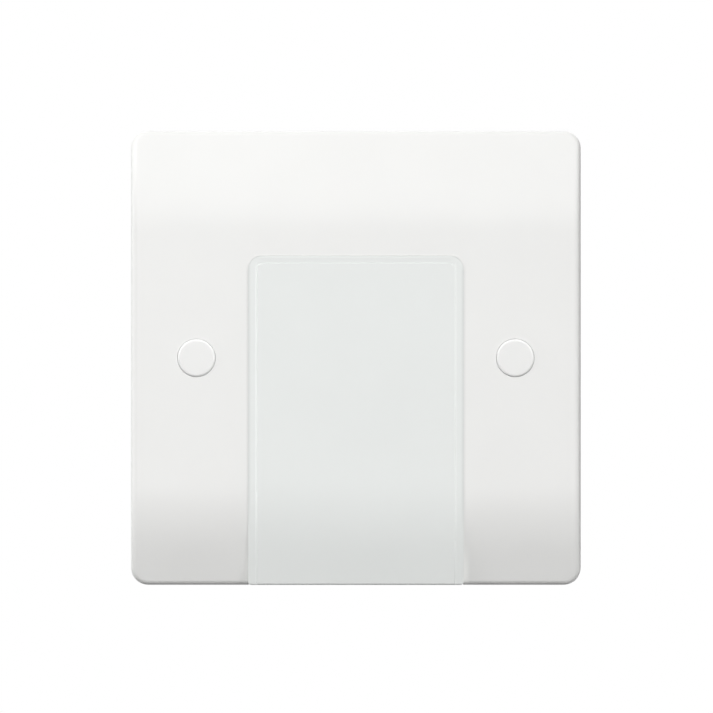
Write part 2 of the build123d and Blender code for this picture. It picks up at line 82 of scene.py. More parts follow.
class Shader:
    """Node tree of one material or world, with short calls that add and join nodes."""

    NOISE_LOW = 0.3
    NOISE_HIGH = 0.7
    EDGE_SAMPLES = 8

    def __init__(self, owner: bpy.types.Material | bpy.types.World) -> None:
        """Empty the owner's node tree.

        Args:
            owner: material or world whose nodes are to be built.
        """
        owner.use_nodes = True
        self.tree = owner.node_tree
        self.tree.nodes.clear()

    def node(self, kind: str, values: dict[str | int, Any] | None = None, **settings: Any) -> bpy.types.Node:
        """Add a node.

        Args:
            kind: type name of the node.
            values: input name or number to a constant, or to a socket that is linked to it.
            settings: properties of the node itself.

        Returns:
            The new node.
        """
        made = self.tree.nodes.new(kind)
        for key, value in settings.items():
            setattr(made, key, value)
        for key, value in (values or {}).items():
            if isinstance(value, Socket):
                self.tree.links.new(value, made.inputs[key])
            else:
                made.inputs[key].default_value = value
        return made

    def place(self) -> Socket:
        """Return the socket of the object's own coordinates, in metres."""
        return self.node("ShaderNodeTexCoord").outputs["Object"]

    def normal(self) -> Socket:
        """Return the socket of the surface's own normal."""
        return self.node("ShaderNodeNewGeometry").outputs["Normal"]

    def shown(self) -> Socket:
        """Return a socket that is 1 for rays from the camera, straight or through something clear."""
        path = self.node("ShaderNodeLightPath").outputs
        return self.math("MAXIMUM", path["Is Camera Ray"], path["Is Transmission Ray"])

    def axes(self, vector: Socket) -> tuple[Socket, Socket, Socket]:
        """Return the sockets of a vector's X, Y and Z."""
        parts = self.node("ShaderNodeSeparateXYZ", {0: vector}).outputs
        return parts["X"], parts["Y"], parts["Z"]

    def math(self, operation: str, first: float | Socket, second: float | Socket) -> Socket:
        """Join two numbers or sockets by an operation of the Math node, and return the result's socket."""
        return self.node("ShaderNodeMath", {0: first, 1: second}, operation=operation).outputs[0]

    def unsigned(self, value: Socket) -> Socket:
        """Return the socket of a value without its sign."""
        return self.node("ShaderNodeMath", {0: value}, operation="ABSOLUTE").outputs[0]

    def dot(self, first: Socket, second: Socket | Point) -> Socket:
        """Return the socket of the dot product of two vectors."""
        made = self.node("ShaderNodeVectorMath", {0: first, 1: second}, operation="DOT_PRODUCT")
        return made.outputs["Value"]

    def noise(self, place: Socket, grain: float, detail: float) -> Socket:
        """Return the socket of clouds of a size in metres, with octaves of finer ones, from 0 to 1."""
        made = self.node("ShaderNodeTexNoise", {"Vector": place, "Scale": 1.0 / grain, "Detail": detail})
        return made.outputs["Fac"]

    def spread(self, source: Socket, low: float, high: float) -> Socket:
        """Return the socket of a noise whose usual reach is mapped to the range from low to high."""
        reach = {"From Min": self.NOISE_LOW, "From Max": self.NOISE_HIGH, "To Min": low, "To Max": high}
        return self.node("ShaderNodeMapRange", {"Value": source, **reach}).outputs["Result"]

    def ramp(self, source: Socket, start: float, end: float) -> Socket:
        """Return the socket of a smooth rise from 0 to 1 while the source goes from start to end."""
        values = {"Value": source, "From Min": start, "From Max": end}
        return self.node("ShaderNodeMapRange", values, interpolation_type="SMOOTHSTEP").outputs["Result"]

    def stripe(self, value: Socket, level: float, half_width: float) -> Socket:
        """Return a socket that is 1 where a value meets the level, and 0 from the half width on."""
        return self.ramp(self.unsigned(self.math("SUBTRACT", value, level)), half_width, 0.0)

    def blend(self, share: Socket, first: Socket | Paint, second: Socket | Paint) -> Socket:
        """Mix two colours by a share of the second, and return the result's socket."""
        made = self.node("ShaderNodeMix", {0: share, 6: first, 7: second}, data_type="RGBA")
        return made.outputs[2]

    def edges(self, radius: float, sharpness: float) -> tuple[Socket, Socket]:
        """Find edges, where a rounded normal leaves the surface's own normal.

        Args:
            radius: reach of the edge on each side, in metres.
            sharpness: factor on the difference of the two normals.

        Returns:
            Socket that is 0 on flats and up to 1 along edges, and socket of the rounded normal.
        """
        rounded = self.node("ShaderNodeBevel", {"Radius": radius}, samples=self.EDGE_SAMPLES).outputs[0]
        apart = self.math("SUBTRACT", 1.0, self.dot(rounded, self.normal()))
        edge = self.node("ShaderNodeMath", {0: apart, 1: sharpness}, operation="MULTIPLY", use_clamp=True)
        return edge.outputs[0], rounded

    def bump(self, height: Socket, distance: float, strength: float, normal: Socket) -> Socket:
        """Return the socket of a normal tilted by heights, whose step of 1 is a distance in metres."""
        values = {"Height": height, "Distance": distance, "Strength": strength, "Normal": normal}
        return self.node("ShaderNodeBump", values).outputs[0]

    def surface(self, **values: float | Socket) -> None:
        """Close a material with the principled shader, whose inputs are named with underscores for blanks."""
        inputs = {name.replace("_", " "): value for name, value in values.items()}
        shade = self.node("ShaderNodeBsdfPrincipled", inputs)
        self.node("ShaderNodeOutputMaterial", {"Surface": shade.outputs[0]})


@dataclass(frozen=True)
class Band(ABC):
    """Soft stripe of painted shade or painted light, that makes a finish darker or lighter by the share named
    change.
    """

    change: float

    @abstractmethod
    def share(self, shader: Shader, place: Socket) -> Socket:
        """Add the stripe to a finish.

        Args:
            shader: node tree of the finish.
            place: coordinates in metres.

        Returns:
            Socket that is 1 on the stripe's middle line and 0 beyond its width and ends.
        """


@dataclass(frozen=True)
class UprightBand(Band):
    """Pair of upright stripes, left and right of the middle, that fade out beyond their two ends."""

    offset: float
    half_width: float
    low: float
    high: float
    low_fade: float
    high_fade: float

    def share(self, shader: Shader, place: Socket) -> Socket:
        """Add both stripes to a finish.

        Args:
            shader: node tree of the finish.
            place: coordinates in metres.

        Returns:
            Socket that is 1 on the stripes' middle lines and 0 beyond their width and ends.
        """
        x, _, z = shader.axes(place)
        from_low = shader.ramp(z, self.low - self.low_fade, self.low)
        from_high = shader.ramp(z, self.high + self.high_fade, self.high)
        near = shader.stripe(shader.unsigned(x), self.offset, self.half_width)
        return shader.math("MULTIPLY", near, shader.math("MULTIPLY", from_low, from_high))


@dataclass(frozen=True)
class LevelBand(Band):
    """Level stripe across the middle, that fades out beyond its reach to the left and right."""

    level: float
    half_width: float
    reach: float
    fade: float

    def share(self, shader: Shader, place: Socket) -> Socket:
        """Add the stripe to a finish.

        Args:
            shader: node tree of the finish.
            place: coordinates in metres.

        Returns:
            Socket that is 1 on the stripe's middle line and 0 beyond its width and ends.
        """
        x, _, z = shader.axes(place)
        within = shader.ramp(shader.unsigned(x), self.reach + self.fade, self.reach)
        return shader.math("MULTIPLY", shader.stripe(z, self.level, self.half_width), within)


@dataclass(frozen=True)
class RingBand(Band):
    """Pair of rings about points left and right of the middle."""

    offset: float
    radius: float
    half_width: float

    def share(self, shader: Shader, place: Socket) -> Socket:
        """Add both rings to a finish.

        Args:
            shader: node tree of the finish.
            place: coordinates in metres.

        Returns:
            Socket that is 1 on the rings' middle lines and 0 beyond their width.
        """
        x, _, z = shader.axes(place)
        across = shader.math("SUBTRACT", shader.unsigned(x), self.offset)
        squares = shader.math("ADD", shader.math("MULTIPLY", across, across), shader.math("MULTIPLY", z, z))
        distance = shader.node("ShaderNodeMath", {0: squares}, operation="SQRT").outputs[0]
        return shader.stripe(distance, self.radius, self.half_width)


@dataclass(frozen=True)
class MouldedPlastic:
    """Injection-moulded plastic: faint flow clouds, fine grain, uneven gloss and slightly worn edges.

    Bands of painted shade and painted light show only on the outside. They fade out where the normal's Y goes
    from outer_normal to inner_normal.
    """

    name: str
    colour: Colour
    roughness: float
    grain_height: float
    bands: tuple[Band, ...] = ()
    mottle: float = 0.008
    gloss_spread: float = 0.006
    cloud_size: float = 14 * MM
    speck_size: float = 0.35 * MM
    smear_size: float = 5 * MM
    wave_size: float = 9 * MM
    wave_share: float = 2.0
    edge_round: float = 0.03 * MM
    edge_sharpness: float = 1.6
    edge_cover: float = 0.2
    edge_light: float = 0.02
    edge_dulling: float = 0.08
    outer_normal: float = 0.2
    inner_normal: float = 0.5
    refraction: float = 1.5

    def material(self) -> bpy.types.Material:
        """Build the material.

        Returns:
            Material whose patterns read Object coordinates.
        """
        made = bpy.data.materials.new(self.name)
        shader = Shader(made)
        place = shader.place()
        edge, rounded = shader.edges(self.edge_round, self.edge_sharpness)
        cover = shader.math("MULTIPLY", edge, self.edge_cover)
        worn = shader.blend(cover, self._body(shader, place), self._tone(1 + self.edge_light))
        smears = shader.noise(place, self.smear_size, detail=2.0)
        gloss = shader.spread(smears, self.roughness - self.gloss_spread, self.roughness + self.gloss_spread)
        rough = shader.math("ADD", gloss, shader.math("MULTIPLY", edge, self.edge_dulling))
        specks = shader.noise(place, self.speck_size, detail=2.0)
        waves = shader.noise(place, self.wave_size, detail=1.0)
        relief = shader.math("ADD", specks, shader.math("MULTIPLY", waves, self.wave_share))
        normal = shader.bump(relief, self.grain_height, 1.0, rounded)
        shader.surface(Base_Color=worn, Roughness=rough, Normal=normal, IOR=self.refraction)
        return made

    def _tone(self, factor: float) -> Paint:
        """Return the plastic's colour made lighter or darker by a factor."""
        return opaque(scaled(self.colour, factor))

    def _body(self, shader: Shader, place: Socket) -> Socket:
        """Add the plastic's colour with its clouds and its bands of painted shade and light.

        Args:
            shader: node tree of the finish.
            place: coordinates in metres.

        Returns:
            Socket of the colour.
        """
        clouds = shader.spread(shader.noise(place, self.cloud_size, detail=3.0), 0.0, 1.0)
        body = shader.blend(clouds, self._tone(1 - self.mottle), self._tone(1 + self.mottle))
        _, inwards, _ = shader.axes(shader.normal())
        outside = shader.ramp(inwards, self.inner_normal, self.outer_normal)
        for band in self.bands:
            share = shader.math("MULTIPLY", band.share(shader, place), outside)
            body = shader.blend(share, body, self._tone(1 + band.change))
        return body


@dataclass(frozen=True)
class BareMetal:
    """Turned or drawn metal: tool lines, dull patches, bright edges, and painted shade where "shade" is set.
    """

    name: str
    colour: Colour
    dulled: Colour
    roughness: float
    line_stretch: Point = (1.0, 1.0, 0.04)
    line_size: float = 0.12 * MM
    line_height: float = 0.004 * MM
    line_strength: float = 0.6
    line_polish: float = 0.06
    line_dulling: float = 0.08
    patch_size: float = 2.2 * MM
    patch_dulling: float = 0.08
    edge_round: float = 0.08 * MM
    edge_sharpness: float = 2.0
    edge_light: float = 0.12
    painted_shade: float = 0.88
    painted_shade_tone: float = 0.3

    def material(self) -> bpy.types.Material:
        """Build the material.

        Returns:
            Material whose tool lines run along the axis with the smallest stretch.
        """
        made = bpy.data.materials.new(self.name)
        shader = Shader(made)
        place = shader.place()
        drawn = shader.node("ShaderNodeMapping", {"Vector": place, "Scale": self.line_stretch}).outputs[0]
        lines = shader.noise(drawn, self.line_size, detail=3.0)
        patches = shader.spread(shader.noise(place, self.patch_size, detail=4.0), 0.0, 1.0)
        clean = shader.blend(patches, opaque(self.colour), opaque(self.dulled))
        # Painted shade: the recess of a head and the roots of a thread are darkened where the "shade"
        # attribute is set
        hidden = shader.node("ShaderNodeAttribute", attribute_name="shade").outputs["Fac"]
        recess_shade_share = shader.math("MULTIPLY", hidden, self.painted_shade)
        body = shader.blend(recess_shade_share, clean, opaque(scaled(self.dulled, self.painted_shade_tone)))
        edge, rounded = shader.edges(self.edge_round, self.edge_sharpness)
        proud = shader.math("MULTIPLY", edge, shader.math("SUBTRACT", 1.0, hidden))
        worn = shader.blend(proud, body, opaque(scaled(self.colour, 1 + self.edge_light)))
        least, most = self.roughness - self.line_polish, self.roughness + self.line_dulling
        lined = shader.spread(lines, least, most)
        rough = shader.math("ADD", lined, shader.math("MULTIPLY", patches, self.patch_dulling))
        normal = shader.bump(lines, self.line_height, self.line_strength, rounded)
        shader.surface(Base_Color=worn, Metallic=1.0, Roughness=rough, Normal=normal)
        return made


# Bands of painted shade and painted light along the joint between hood and plate, the hood's edges and the
# covers
# Painted shade along the upright joints between hood and plate, on both parts, where the crease is shaded
JOINT_SHADE = UprightBand(
    change=-0.095,
    offset=20.35 * MM,
    half_width=0.62 * MM,
    low=-26 * MM,
    high=16 * MM,
    low_fade=8 * MM,
    high_fade=2.5 * MM,
)
# Painted light on the plate beside the lower joints, over the shade that the proud hood casts there
JOINT_PAINTED_LIGHT = UprightBand(
    change=0.12,
    offset=20.7 * MM,
    half_width=1.2 * MM,
    low=-44 * MM,
    high=-40 * MM,
    low_fade=4 * MM,
    high_fade=6 * MM,
)
# Painted highlight along the upright edges of the hood's raised panel
PANEL_EDGE_HIGHLIGHT = UprightBand(
    change=0.13,
    offset=18.82 * MM,
    half_width=0.32 * MM,
    low=-30 * MM,
    high=16.5 * MM,
    low_fade=10 * MM,
    high_fade=2 * MM,
)
# Weaker painted highlight along the lower ends of the panel's upright edges
PANEL_FOOT_HIGHLIGHT = UprightBand(
    change=0.06,
    offset=18.82 * MM,
    half_width=0.32 * MM,
    low=-44 * MM,
    high=-38 * MM,
    low_fade=4 * MM,
    high_fade=12 * MM,
)
# Painted light over the dark line of the top joint, on plate and hood
TOP_JOINT_LIGHT = LevelBand(change=0.11, level=19.3 * MM, half_width=0.4 * MM, reach=17 * MM, fade=3 * MM)
# Painted shade on the hood's top ledge, under the plate's edge
TOP_LEDGE_SHADE = LevelBand(change=-0.045, level=18.65 * MM, half_width=0.65 * MM, reach=17.5 * MM, fade=1.5 * MM)
# Painted shade that dims the highlight on the panel's top edge
TOP_EDGE_SHADE = LevelBand(change=-0.08, level=17.95 * MM, half_width=0.35 * MM, reach=17.5 * MM, fade=1.5 * MM)
# Painted light on the covers' rims, over the shade of the gap around them
COVER_RIM_LIGHT = RingBand(change=0.14, offset=30.15 * MM, radius=3.45 * MM, half_width=0.45 * MM)
# Painted light on the plate in a thin ring round each cover, over the shade of the gap
COVER_SURROUND_LIGHT = RingBand(change=0.14, offset=30.15 * MM, radius=3.65 * MM, half_width=0.2 * MM)

PLATE_WHITE = MouldedPlastic(
    "plate_white_finish",
    colour=(0.866, 0.866, 0.851),
    roughness=0.31,
    grain_height=0.0012 * MM,
    bands=(JOINT_SHADE, JOINT_PAINTED_LIGHT, TOP_JOINT_LIGHT, COVER_SURROUND_LIGHT),
)
HOOD_WHITE = MouldedPlastic(
    "hood_white_finish",
    colour=(0.816, 0.837, 0.822),
    roughness=0.30,
    grain_height=0.0012 * MM,
    bands=(JOINT_SHADE, PANEL_EDGE_HIGHLIGHT, PANEL_FOOT_HIGHLIGHT, TOP_LEDGE_SHADE, TOP_EDGE_SHADE, TOP_JOINT_LIGHT),
)
COVER_WHITE = MouldedPlastic(
    "cover_white_finish",
    colour=(0.866, 0.866, 0.854),
    roughness=0.25,
    grain_height=0.0012 * MM,
    bands=(COVER_RIM_LIGHT,),
)
CARRIER_GREY = MouldedPlastic(
    "carrier_grey_finish",
    colour=(0.50, 0.51, 0.52),
    roughness=0.52,
    grain_height=0.004 * MM,
    mottle=0.03,
    edge_round=0.12 * MM,
)
CLAMP_NYLON = MouldedPlastic(
    "clamp_nylon_finish",
    colour=(0.74, 0.73, 0.67),
    roughness=0.46,
    grain_height=0.003 * MM,
    mottle=0.02,
    edge_round=0.12 * MM,
)
TERMINAL_BRASS = BareMetal(
    "terminal_brass_finish", colour=(0.83, 0.62, 0.30), dulled=(0.66, 0.47, 0.22), roughness=0.30
)
SCREW_STEEL = BareMetal(
    "screw_steel_finish",
    colour=(0.70, 0.71, 0.72),
    dulled=(0.56, 0.56, 0.54),
    roughness=0.32,
    line_stretch=(1.0, 0.05, 1.0),
)

FINISH_OF_SLOT: dict[str, MouldedPlastic | BareMetal] = {
    "plate_white": PLATE_WHITE,
    "hood_white": HOOD_WHITE,
    "cover_white": COVER_WHITE,
    "carrier_grey": CARRIER_GREY,
    "clamp_nylon": CLAMP_NYLON,
    "terminal_brass": TERMINAL_BRASS,
    "screw_steel": SCREW_STEEL,
}


@dataclass
class Wardrobe:
    """Finishes of the record's material slots, each built once, and the smoothing of the solids' joins."""

    smooth_angle: float = math.radians(28)
    merge_distance: float = 0.002 * MM
    flat_face_weight: int = 100
    materials: dict[str, bpy.types.Material] = field(init=False)
    joins: bpy.types.GeometryNodeTree = field(init=False)

    def __post_init__(self) -> None:
        """Build the materials and the node group that smooths the solids' joins."""
        self.materials = {slot: finish.material() for slot, finish in FINISH_OF_SLOT.items()}
        self.joins = self._smooth_joins()

    def _smooth_joins(self) -> bpy.types.GeometryNodeTree:
        """Build a node group that merges a solid's faces and shades smoothly across all but its sharp edges.

        Returns:
            Node group for the solids' modifiers.
        """
        group = bpy.data.node_groups.new("smooth_joins", "GeometryNodeTree")
        group.interface.new_socket("Geometry", in_out="INPUT", socket_type="NodeSocketGeometry")
        group.interface.new_socket("Geometry", in_out="OUTPUT", socket_type="NodeSocketGeometry")
        nodes, link = group.nodes, group.links.new
        start = nodes.new("NodeGroupInput")
        merge = nodes.new("GeometryNodeMergeByDistance")
        merge.inputs["Distance"].default_value = self.merge_distance
        plain = nodes.new("GeometryNodeRemoveAttribute")
        plain.inputs["Name"].default_value = "custom_normal"
        smooth = nodes.new("GeometryNodeSetShadeSmooth")
        angle = nodes.new("GeometryNodeInputMeshEdgeAngle")
        sharp = nodes.new("FunctionNodeCompare")
        sharp.inputs[1].default_value = self.smooth_angle
        crease = nodes.new("GeometryNodeSetShadeSmooth")
        crease.domain = "EDGE"
        crease.inputs["Shade Smooth"].default_value = False
        end = nodes.new("NodeGroupOutput")
        link(start.outputs[0], merge.inputs["Geometry"])
        link(merge.outputs[0], plain.inputs["Geometry"])
        link(plain.outputs[0], smooth.inputs[0])
        link(smooth.outputs[0], crease.inputs[0])
        link(angle.outputs["Unsigned Angle"], sharp.inputs[0])
        link(sharp.outputs[0], crease.inputs["Selection"])
        link(crease.outputs[0], end.inputs[0])
        return group

    def dress(self, node: bpy.types.Object, slot: str) -> None:
        """Give a solid its finish and smooth shading.

        Args:
            node: object of the CAD node.
            slot: record's material slot of the node.
        """
        node.material_slots[0].material = self.materials[slot]
        node.modifiers.new("joins", "NODES").node_group = self.joins
        weighted = node.modifiers.new("weighted", "WEIGHTED_NORMAL")
        weighted.keep_sharp = True
        weighted.weight = self.flat_face_weight
        LOG.info("dressed %s in %s", node.name, slot)


@dataclass
class Skin:
    """Closed surface as arrays: points, their shade from 0 to 1, quads and the triangles of its two ends."""

    points: np.ndarray
    shade: np.ndarray
    quads: np.ndarray
    triangles: np.ndarray

    @classmethod
    def around(cls, rings: np.ndarray, ends: np.ndarray, shade: np.ndarray) -> "Skin":
        """Join rings of points, and close them with a fan at each end.

        Quad (i, j) joins P[i, j], P[i, j+1], P[i+1, j+1] and P[i+1, j], where j goes once around. All corners
        are turned where the enclosed volume, the sum of a . (b x c) / 6 over the triangles, is negative.

        Args:
            rings: points P of shape (rings, columns, 3).
            ends: two points, which close the first and the last ring.
            shade: share of painted shade at each point of the rings.

        Returns:
            Closed surface that looks outwards.
        """
        rows, columns = rings.shape[:2]
        points = np.concatenate([rings.reshape(-1, 3), ends])
        tones = np.concatenate([shade.ravel(), [shade[0].mean(), shade[-1].mean()]])
        own = np.arange(rows * columns).reshape(rows, columns)
        following = np.roll(own, -1, axis=1)
        quads = np.stack([own[:-1], following[:-1], following[1:], own[1:]], axis=-1).reshape(-1, 4)
        first = np.stack([np.full(columns, rows * columns), following[0], own[0]], axis=-1)
        last = np.stack([np.full(columns, rows * columns + 1), own[-1], following[-1]], axis=-1)
        triangles = np.concatenate([first, last])
        corners = points[np.concatenate([quads[:, :3], quads[:, [0, 2, 3]], triangles])]
        volume = np.einsum("ij,ij->", corners[:, 0], np.cross(corners[:, 1], corners[:, 2]))
        turn = slice(None, None, 1 if volume > 0 else -1)
        return cls(points, tones, quads[:, turn], triangles[:, turn])


def object_of(name: str, skins: list[Skin], finish: bpy.types.Material, sharp: float) -> bpy.types.Object:
    """Make one object from closed surfaces.

    Args:
        name: name of the object and its mesh.
        skins: surfaces in metres, in the row frame.
        finish: material of the object.
        sharp: angle in degrees above which edges stay sharp.

    Returns:
        Object at the origin, linked to the scene.
    """
    starts = np.cumsum([0] + [len(skin.points) for skin in skins[:-1]])
    faces = []
    for start, skin in zip(starts, skins):
        faces += (skin.quads + start).tolist() + (skin.triangles + start).tolist()
    mesh = bpy.data.meshes.new(name)
    mesh.from_pydata(np.concatenate([skin.points for skin in skins]).tolist(), [], faces)
    shade = mesh.attributes.new("shade", "FLOAT", "POINT")
    shade.data.foreach_set("value", np.concatenate([skin.shade for skin in skins]).astype(np.float32))
    mesh.polygons.foreach_set("use_smooth", np.ones(len(mesh.polygons), bool))
    mesh.set_sharp_from_angle(angle=math.radians(sharp))
    mesh.materials.append(finish)
    made = bpy.data.objects.new(name, mesh)
    bpy.context.scene.collection.objects.link(made)
    return made


class Drive(Enum):
    """Recess of a screw's head, by its number of arms."""

    SLOT = 2
    CROSS = 4


@dataclass(frozen=True)
class ScrewKind:
    """Sizes of one kind of screw, in metres, and the body it moves with.

    The neck is a plain stretch under the head. The fullness is the power n of the head's domed top.
    """

    radius: float
    pitch: float
    length: float
    head_radius: float
    head_height: float
    neck_radius: float
    neck_length: float = 0.4 * MM
    drive: Drive = Drive.CROSS
    fullness: float = 4.0
    body: str = "plate"
    from_front: bool = False


@dataclass(frozen=True)
class ScrewPlace:
    """Point in the middle of the head's underside, and the unit vector from there to the screw's tip."""

    point: np.ndarray
    axis: np.ndarray

    @classmethod
    def within(cls, low: Vector, high: Vector, size: ScrewKind) -> "ScrewPlace":
        """Find the place of a screw that fills a box.

        Args:
            low: lowest corner of the box.
            high: highest corner of the box.
            size: kind of the screw.

        Returns:
            Place on the box's middle line.
        """
        under_head = low.y + size.head_height if size.from_front else high.y - size.head_height
        point = np.array([(low.x + high.x) / 2, under_head, (low.z + high.z) / 2])
        return cls(point, np.array([0.0, 1.0 if size.from_front else -1.0, 0.0]))

    def points(self, radius: np.ndarray, angle: np.ndarray, along: np.ndarray) -> np.ndarray:
        """Turn cylinder coordinates into points: p + r cos(t) e1 + r sin(t) e2 + a e3, with e2 = e3 x e1.

        Args:
            radius: distance r from the axis e3.
            angle: turn t about the axis, in radians.
            along: distance a from the head's underside, towards the tip.

        Returns:
            Points of the arguments' common shape, with three coordinates each.
        """
        first = np.array([1.0, 0.0, 0.0])
        second = np.cross(self.axis, first)
        radius, angle, along = np.broadcast_arrays(radius, angle, along)
        flat = (radius * np.cos(angle))[..., None] * first + (radius * np.sin(angle))[..., None] * second
        return self.point + flat + along[..., None] * self.axis

    def on_axis(self, along: np.ndarray) -> np.ndarray:
        """Return points on the axis at distances from the head's underside."""
        return self.points(np.zeros_like(along), np.zeros_like(along), along)


@dataclass
class ThreadedScrew:
    """Screw with a helical thread and a driven head, that stands for one plain CAD screw.

    Values named share are shares of the head's radius or height, the thread's pitch, or a head's sector.
    """

    node: str
    size: ScrewKind
    slot: str = "screw_steel"
    sharp_angle: float = 38.0
    thread_columns: int = 36
    rows_per_pitch: int = 8
    thread_depth_share: float = 0.6
    deepest_thread: float = 0.4 * MM
    thread_flat_share: float = 0.1
    inside_head_share: float = 0.3
    tip_taper: float = 0.5 * MM
    recess_half: float = 0.42 * MM
    recess_depth_share: float = 0.55
    wall_soft: float = 0.04 * MM
    cross_reach_share: float = 0.62
    cross_rise_share: float = 0.55
    slot_reach_share: float = 2.0
    widest_arm_share: float = 0.8
    arm_share: float = 0.3
    column_gap: float = 0.02
    arm_columns: int = 7
    land_columns: int = 28
    underside_share: float = 0.5
    rim_share: float = 0.88
    rim_rows: int = 9
    top_outer_share: float = 0.86
    top_inner_share: float = 0.06
    top_rows: int = 18

    def build(self, finish: bpy.types.Material) -> None:
        """Make the screw in the place of its CAD node, on the same body.

        Args:
            finish: material of the screw.
        """
        low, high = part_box(self.node)
        place = ScrewPlace.within(low, high, self.size)
        skins = [self._shank(place), self._head(place)]
        made = object_of(f"{self.node}_turned", skins, finish, self.sharp_angle)
        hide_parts(self.node)
        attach(made, self.size.body)
        LOG.info("turned %s, %d faces", self.node, len(made.data.polygons))

    def _shank(self, place: ScrewPlace) -> Skin:
        """Build the shank, from inside the head to the tip.

        The radius is R - d g(f), with f = frac(a / pitch - t / 2 pi) and g rising from 0 on the crest to 1 in
        the root, both flat for a share of the pitch. The depth d grows from 0 after the neck, and the tip
        tapers.

        Args:
            place: where the screw stands.

        Returns:
            Closed surface of the shank.
        """
        size = self.size
        rows = int(size.length / size.pitch * self.rows_per_pitch)
        along = np.linspace(-self.inside_head_share * size.head_height, size.length, rows)[:, None]
        angle = np.linspace(0.0, FULL_TURN, self.thread_columns, endpoint=False)[None, :]
        turn = (along / size.pitch - angle / FULL_TURN) % 1.0
        flat = self.thread_flat_share
        groove = np.clip((np.abs(2 * turn - 1) - flat) / (1 - 2 * flat), 0.0, 1.0)
        groove = groove * np.clip((along - size.neck_length) / size.pitch, 0.0, 1.0)
        crest = np.where(along < size.neck_length, size.neck_radius, size.radius)
        depth = min(self.thread_depth_share * size.pitch, self.deepest_thread)
        taper = np.clip(self.tip_taper - (size.length - along), 0.0, None)
        rings = place.points(crest - depth * groove - taper, angle, along)
        # The thread's roots carry painted shade through the groove share
        return Skin.around(rings, place.on_axis(along[[0, -1], 0]), groove)

    def _head(self, place: ScrewPlace) -> Skin:
        """Build the head: flat underside, domed top, and a recess with straight walls.

        Inside the recess, the top falls to a floor. A cross recess rises towards its arms' ends, and a round
        core joins the arms in the middle. The walls are softened over twice wall_soft.

        Args:
            place: where the screw stands.

        Returns:
            Closed surface of the head.
        """
        size, arms = self.size, self.size.drive.value
        cross = size.drive is Drive.CROSS
        reach = (self.cross_reach_share if cross else self.slot_reach_share) * size.head_radius
        widest = math.sin(self.widest_arm_share * math.pi / arms)
        core = self.recess_half / widest
        radius, along = self._dome(np.array([reach, core]))
        angle, in_arm = self._sector(radius, widest)
        inside = np.maximum(in_arm * self._within(radius, reach), self._within(radius, core))
        rise = self.cross_rise_share * radius / reach if cross else 0.0
        floor = size.head_height * (self.recess_depth_share * (1 - rise) - 1)
        above_underside = np.arange(len(radius))[:, None] > 0
        along = along + inside * np.clip(floor - along, 0.0, None) * above_underside
        turns = np.arange(arms) * FULL_TURN / arms
        angle = (turns[:, None] + angle[:, None, :]).reshape(len(radius), -1)
        rings = place.points(radius, angle, np.tile(along, (1, arms)))
        ends = place.on_axis(np.array([0.0, along[-1].mean()]))
        # The recess carries painted shade through its inside share
        return Skin.around(rings, ends, np.tile(inside, (1, arms)))

    def _within(self, radius: np.ndarray, limit: float) -> np.ndarray:
        """Return 1 for radii inside a limit and 0 outside, softened over twice wall_soft."""
        return np.clip((limit + self.wall_soft - radius) / (2 * self.wall_soft), 0.0, 1.0)

    def _dome(self, walls: np.ndarray) -> tuple[np.ndarray, np.ndarray]:
        """Lay out the head's rings, from the underside over the rim to the middle of the top.

        The top is |a| = h (1 - (r / R)^n)^(1 / n). Its rings are close together at the rim and on both sides
        of each wall of the recess.

        Args:
            walls: radii at which the recess has walls.

        Returns:
            Radii and heights of the rings, as columns.
        """
        size, power = self.size, self.size.fullness
        lean = np.arccos(self.rim_share ** (power / 2)) * np.linspace(0.0, 1.0, self.rim_rows) ** 2
        rim = np.cos(lean) ** (2 / power)
        top = np.linspace(self.top_outer_share, self.top_inner_share, self.top_rows)
        sides = (walls[:, None] + np.array([-1, 1]) * self.wall_soft) / size.head_radius
        top = np.concatenate([top, sides.ravel()])
        limit = (self.rim_share + self.top_outer_share) / 2
        share = np.concatenate([[self.underside_share], rim, np.sort(top[top < limit])[::-1]])
        along = -size.head_height * (1 - np.minimum(share, 1.0) ** power) ** (1 / power)
        along[0] = 0.0
        return size.head_radius * share[:, None], along[:, None]

    def _sector(self, radius: np.ndarray, widest: float) -> tuple[np.ndarray, np.ndarray]:
        """Lay out the columns of one sector of the head, about the middle of a recess arm.

        The arm's edges are at the angle asin(w / r) for a half width w, so they are straight. The columns of
        the arm share the angle between its edges, and those of the land the angle up to the next sector.

        Args:
            radius: radii r of the rings, as a column.
            widest: largest sine of the edges' angle.

        Returns:
            Angles for each ring and column, and 1 for columns in the arm and 0 for those on the land.
        """
        arms = self.size.drive.value
        land = np.linspace(self.arm_share + self.column_gap, 1.0, self.land_columns // arms + 2)
        arm_end = self.arm_share - self.column_gap
        sector = np.concatenate([-land[::-1], np.linspace(-arm_end, arm_end, self.arm_columns), land[:-1]])
        edge = np.arcsin(np.minimum(self.recess_half / radius, widest))
        share = np.abs(sector)[None, :]
        in_arm = share < self.arm_share
        on_land = edge + (math.pi / arms - edge) * (share - self.arm_share) / (1 - self.arm_share)
        angle = np.sign(sector) * np.where(in_arm, edge * share / self.arm_share, on_land)
        return angle, np.where(in_arm, 1.0, 0.0)


